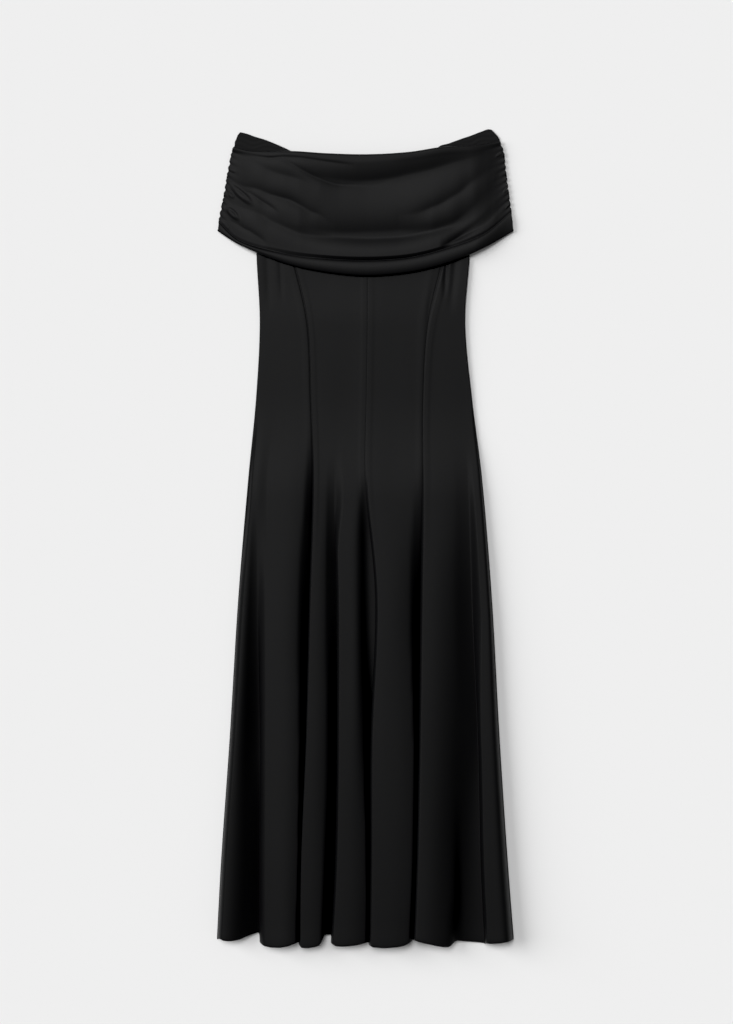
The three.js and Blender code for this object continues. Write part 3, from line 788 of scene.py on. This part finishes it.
# valleys of the cowl folds: x and y of points along each, how deep it is there, how far its slopes
# reach above and below it, and how rounded its bottom is on those two sides
valleys = [
    dict(x=[-0.182, -0.164, -0.143, -0.121, -0.098, -0.068, -0.038, -0.014],  # under the neck edge
         y=[0.579, 0.5745, 0.5715, 0.573, 0.5715, 0.567, 0.5625, 0.5595],
         deep=[0.0024, 0.0026, 0.0026, 0.0023, 0.0020, 0.0013, 0.0007, 0],
         above=0.003, below=0.007, soft=(0.0006, 0.0015)),
    dict(x=[-0.121, -0.098, -0.068, -0.038, 0.001, 0.037, 0.067, 0.097, 0.127, 0.157, 0.179, 0.202],
         y=[0.556, 0.545, 0.5415, 0.5365, 0.5345, 0.538, 0.545, 0.552, 0.561, 0.569, 0.5765, 0.584],
         deep=[0, 0.0006, 0.0024, 0.0044, 0.0056, 0.0060, 0.0060, 0.0058, 0.0052, 0.0042, 0.0030, 0.0010],
         above=0.020, below=0.028, soft=(0.004, 0.012)),  # the broad one below it
    dict(x=[-0.131, -0.116, -0.095, -0.071, -0.044, -0.017, 0.017, 0.047],  # a fine crease in that
         y=[0.567, 0.564, 0.5525, 0.5405, 0.5315, 0.5305, 0.532, 0.5405],
         deep=[0, 0.0010, 0.0014, 0.0015, 0.0014, 0.0012, 0.0009, 0],
         above=0.006, below=0.005, soft=(0.0008, 0.0015)),
    dict(x=[-0.188, -0.173, -0.143, -0.113, -0.098, -0.068],  # soft one from the upper left
         y=[0.573, 0.5675, 0.551, 0.542, 0.5375, 0.524],
         deep=[0.0004, 0.0010, 0.0018, 0.0018, 0.0014, 0],
         above=0.010, below=0.011, soft=(0.003, 0.004)),
    dict(x=[-0.205, -0.200, -0.182, -0.164, -0.143, -0.128, -0.113, -0.098, -0.083, -0.068, -0.047],
         y=[0.539, 0.536, 0.5285, 0.525, 0.5165, 0.512, 0.5075, 0.500, 0.491, 0.485, 0.4685],
         deep=[0.0010, 0.0016, 0.0022, 0.0026, 0.0028, 0.0030, 0.0030, 0.0026, 0.0020, 0.0012, 0],
         above=0.010, below=0.011, soft=(0.0012, 0.003)),  # long one across the left
    dict(x=[-0.198, -0.191, -0.182, -0.173, -0.164, -0.155, -0.143, -0.128],
         y=[0.531, 0.527, 0.521, 0.518, 0.512, 0.506, 0.4985, 0.488],
         deep=[0.0004, 0.0009, 0.0014, 0.0016, 0.0018, 0.0018, 0.0014, 0],
         above=0.004, below=0.006, soft=(0.0008, 0.002)),
    dict(x=[-0.209, -0.191, -0.173, -0.155, -0.143, -0.128, -0.113, -0.098, -0.068, -0.038, 0.001,
            0.037, 0.067, 0.097, 0.119, 0.134, 0.149, 0.169, 0.179, 0.190, 0.199, 0.214],
         y=[0.509, 0.500, 0.4925, 0.485, 0.4775, 0.471, 0.464, 0.458, 0.4535, 0.453, 0.452,
            0.4535, 0.456, 0.462, 0.468, 0.473, 0.482, 0.4965, 0.5055, 0.5165, 0.527, 0.5495],
         deep=[0.0014, 0.0022, 0.0024, 0.0030, 0.0030, 0.0029, 0.0028, 0.0028, 0.0032, 0.0034, 0.0036,
               0.0040, 0.0044, 0.0048, 0.0052, 0.0054, 0.0056, 0.0054, 0.0050, 0.0046, 0.0040, 0.0020],
         above=0.018, below=0.012, soft=(0.002, 0.0045)),  # the longest, right across
    dict(x=[-0.100, -0.050, 0.001, 0.050, 0.100],  # the broad slope above it, at the middle
         y=[0.470, 0.461, 0.458, 0.461, 0.470],
         deep=[0, 0.0026, 0.0034, 0.0030, 0],
         above=0.028, below=0.012, soft=(0.004, 0.006)),
    dict(x=[0.044, 0.067, 0.082, 0.097, 0.112, 0.127, 0.142, 0.157, 0.169, 0.179, 0.190, 0.206],
         y=[0.4835, 0.4865, 0.4895, 0.4955, 0.5015, 0.5105, 0.5195, 0.533, 0.5405, 0.548, 0.554, 0.5705],
         deep=[0, 0.0006, 0.0014, 0.0022, 0.0024, 0.0024, 0.0024, 0.0024, 0.0024, 0.0022, 0.0018, 0.0008],
         above=0.011, below=0.012, soft=(0.003, 0.004)),  # soft, right of the middle
    dict(x=[0.193, 0.199, 0.206, 0.212],
         y=[0.536, 0.5435, 0.5525, 0.5615],
         deep=[0, 0.0016, 0.0018, 0.0008],
         above=0.004, below=0.004, soft=(0.001, 0.0015)),
    dict(x=[0.112, 0.127, 0.142, 0.157, 0.169, 0.179, 0.190, 0.199, 0.212],  # lower right
         y=[0.437, 0.4445, 0.4535, 0.4625, 0.470, 0.4775, 0.488, 0.495, 0.5075],
         deep=[0, 0.0030, 0.0044, 0.0050, 0.0054, 0.0054, 0.0050, 0.0036, 0.0014],
         above=0.007, below=0.005, soft=(0.001, 0.0015)),
    dict(x=[-0.208, -0.200, -0.191, -0.182, -0.173, -0.164, -0.155, -0.146],  # lower left
         y=[0.480, 0.476, 0.4715, 0.4655, 0.461, 0.455, 0.449, 0.4415],
         deep=[0.0004, 0.0010, 0.0014, 0.0016, 0.0016, 0.0014, 0.0010, 0],
         above=0.005, below=0.006, soft=(0.001, 0.002)),
]

# small looped puckers beside the side seams: middle, length, width, tilt in degrees and height
puckers = [
    dict(x=-0.186, y=0.5165, long=0.040, wide=0.010, tilt=-42, high=0.0018),
    dict(x=-0.2015, y=0.517, long=0.014, wide=0.007, tilt=-50, high=0.0009),
    dict(x=-0.1985, y=0.488, long=0.024, wide=0.009, tilt=-45, high=0.0017),
    dict(x=-0.2085, y=0.470, long=0.016, wide=0.007, tilt=-55, high=0.0009),
    dict(x=-0.2000, y=0.552, long=0.010, wide=0.0034, tilt=-20, high=0.0006),
    dict(x=0.2010, y=0.577, long=0.012, wide=0.0034, tilt=35, high=0.0006),
    dict(x=0.2110, y=0.524, long=0.012, wide=0.0034, tilt=48, high=0.0007),
    dict(x=0.2140, y=0.500, long=0.011, wide=0.0030, tilt=50, high=0.0007),
]

# how much of its depth the groove above the rolled border has, across the band
grooveDepths = [
    dict(s=-1, share=0.05),
    dict(s=-0.7, share=0.08),
    dict(s=-0.55, share=0.15),
    dict(s=-0.4, share=0.3),
    dict(s=-0.2, share=0.65),
    dict(s=0.1, share=0.8),
    dict(s=0.5, share=0.55),
    dict(s=0.75, share=0.35),
    dict(s=1, share=0.2),
]
grooveShare = tableCurves(grooveDepths, "s")["share"]

# the top of the band's back, which shows at both corners
cornerTops = [
    dict(s=-1, y=0.6112), dict(s=-0.93, y=0.6084), dict(s=-0.855, y=0.604), dict(s=-0.79, y=0.6004),
    dict(s=-0.72, y=0.5957), dict(s=-0.655, y=0.5906), dict(s=-0.59, y=0.5851), dict(s=-0.3, y=0.556),
    dict(s=0, y=0.546), dict(s=0.3, y=0.560), dict(s=0.54, y=0.5905), dict(s=0.605, y=0.594),
    dict(s=0.67, y=0.5984), dict(s=0.74, y=0.6028), dict(s=0.81, y=0.6068), dict(s=0.9, y=0.6118),
    dict(s=0.976, y=0.6155), dict(s=1, y=0.615),
]
cornerTop = tableCurves(cornerTops, "s")["y"]


def valleyDepth(x, y):
    depth = np.zeros_like(x)
    for valley in valleys:
        middle = curve(valley["x"], valley["y"])
        step = 0.001
        slope = (middle(x + step) - middle(x - step)) / (2 * step)
        away = (y - middle(x)) / np.hypot(1, slope)
        deep = np.interp(x, valley["x"], valley["deep"], left=valley["deep"][0], right=valley["deep"][-1])
        reach = np.where(away > 0, valley["above"], valley["below"])
        soft = np.where(away > 0, valley["soft"][0], valley["soft"][1])
        depth += deep * np.exp(-(np.hypot(away, soft) - soft) / reach * band["valleySteep"])
    return depth


def puckerRise(x, y):
    rise = np.zeros_like(x)
    for pucker in puckers:
        angle = math.radians(pucker["tilt"])
        dx, dy = x - pucker["x"], y - pucker["y"]
        along = (dx * math.cos(angle) + dy * math.sin(angle)) / pucker["long"] * 2
        off = (dy * math.cos(angle) - dx * math.sin(angle)) / pucker["wide"] * 2
        ring = along ** 2 + off ** 2
        moat = band["puckerMoat"] * np.exp(-(ring / band["puckerMoatWide"]))
        rise += pucker["high"] * (np.exp(-ring ** 2) - moat)
    return rise


def inland(s, start):
    return 1 - ease(np.abs(s), start, 1)


def gatherWave(s, down):
    distance = (1 - np.abs(s)) * band["halfWide"]
    return np.cos(2 * math.pi * band["gathers"] * down) * np.exp(-distance / band["gatherReach"])


def bandX(s, y, wave):
    left, right = bandSide["left"](y), bandSide["right"](y)
    scallop = np.sign(s) * band["scallop"] * wave * np.abs(s) ** band["scallopFade"]
    return mix(left, right, (s + 1) / 2) + scallop


def acrossShares(count):
    even = np.linspace(-1, 1, count)
    return mix(np.sin(math.pi / 2 * even), even, band["evenShare"])


def bandFrontPoints():
    s = acrossShares(band["columns"])
    top, crease, hem = bandEdge["top"](s), bandEdge["crease"](s), bandEdge["hem"](s)
    deep, flatter = inland(s, band["shoulder"]), inland(s, band["slope"])
    low = mix(band["edgeZ"], band["low"], deep)
    plump = band["plump"] * mix(band["plumpOut"], 1, flatter)
    groove = grooveShare(s)
    neckZ = mix(band["edgeZ"], band["loft"], deep)
    neckR = mix(band["neckRoundOut"], band["neckRound"], flatter)
    neckY = top - body["wall"] / 2 - neckR
    rows = []

    def addRow(y, z, wave=0.0):
        rows.append(np.stack([bandX(s, y, wave), y, z], axis=1))

    for k in range(band["neckTurnRows"]):
        turnY = top - mix(band["neckTurnOut"], neckTurn, deep)
        addRow(mix(turnY, neckY, k / band["neckTurnRows"]), neckZ)
    for degrees in range(-90, 91, band["neckStep"]):
        angle = math.radians(degrees)
        addRow(neckY + neckR * math.cos(angle), neckZ + neckR * (1 + math.sin(angle)))
    startZ = neckZ + 2 * neckR
    for k in range(1, band["drapeRows"] + 1):
        down = k / band["drapeRows"]
        y = mix(neckY, crease + band["overhang"], down)
        x = bandX(s, y, 0)
        wave = gatherWave(s, down)
        full = plump + band["lipRise"] * flatter * ease(down, *band["lipSpan"])
        full = full * (1 - band["lipLoss"] * (1 - groove) * ease(down, band["lipLossFrom"], 1))
        spare = full - valleyDepth(x, y) * mix(band["valleyOut"], 1, flatter)
        rise = band["leastRise"] + (spare + np.hypot(spare, band["bottomSoft"])) / 2
        near = np.minimum(1, band["nearSeam"] + band["nearClimb"] * (1 - np.abs(s)))
        z = low + rise * mix(near, 1, deep) + puckerRise(x, y)
        seamShare = np.exp(-(1 - np.abs(s)) * band["gatherFade"])
        z = z + band["gatherRise"] * 0.5 * (1 + wave) * seamShare
        z = mix(startZ, z, ease(down, 0, band["neckShare"]))
        addRow(y, z, wave)
    drapeHigh = plump + band["lipRise"] * flatter
    grooveZ = low + (1 - groove) * drapeHigh * band["shallowGroove"] * (1 + groove)
    addRow(crease + band["grooveWide"], grooveZ)
    addRow(crease - band["grooveLap"], grooveZ - band["grooveLap"])
    rollR = (crease - hem - body["wall"]) / 2
    rollZ = mix(band["rollHighOut"], band["rollHigh"], deep) * mix(*band["rollShares"], groove)
    for k in range(band["rollRows"] + 1):
        angle = math.radians(mix(*band["rollTurn"], k / band["rollRows"]))
        addRow((crease + hem) / 2 + rollR * math.cos(angle), low + rollZ * (1 + math.sin(angle)))
    return np.stack(rows)


def crinkleOf(s, y):
    # the strip above the front's neck edge is free to wrinkle
    away = bandEdge["top"](s) - y
    bends = bandBack["crinkleBend"] * np.sin(bandBack["crinkleBends"] * s)
    wrinkle = 1 + np.sin(away * bandBack["crinkleFine"] + bandBack["crinkleLean"] * s + bends)
    above, out = ease(-away, *bandBack["crinkleAbove"]), ease(np.abs(s), *bandBack["crinkleFrom"])
    return bandBack["crinkleHigh"] * wrinkle * above * out


def bandBackPoints():
    s = acrossShares(bandBack["columns"])
    rows = []
    for k in range(bandBack["rows"] + 1):
        down = k / bandBack["rows"]
        y = mix(cornerTop(s) - body["wall"] / 2, bandBackEdge["hem"](s), down)
        wave = gatherWave(s, down) * ease(down, 0, bandBack["gatherShare"])
        x = bandX(s, y, wave)
        rows.append(np.stack([x, y, body["wall"] / 2 + crinkleOf(s, y)], axis=1))
    return np.stack(rows)


def buildBand():
    front = sheetOfPoints("cloth_band_front", bandFrontPoints())
    giveThickness(front, levels=0)
    finishPiece(front, "band_front", blackCrepe)
    print("band_front", len(front.data.polygons), "faces")
    back = sheetOfPoints("cloth_band_back", bandBackPoints())
    giveThickness(back, levels=0)
    finishPiece(back, "band_back", crepeBack)
    print("band_back", len(back.data.polygons), "faces")


buildBand()
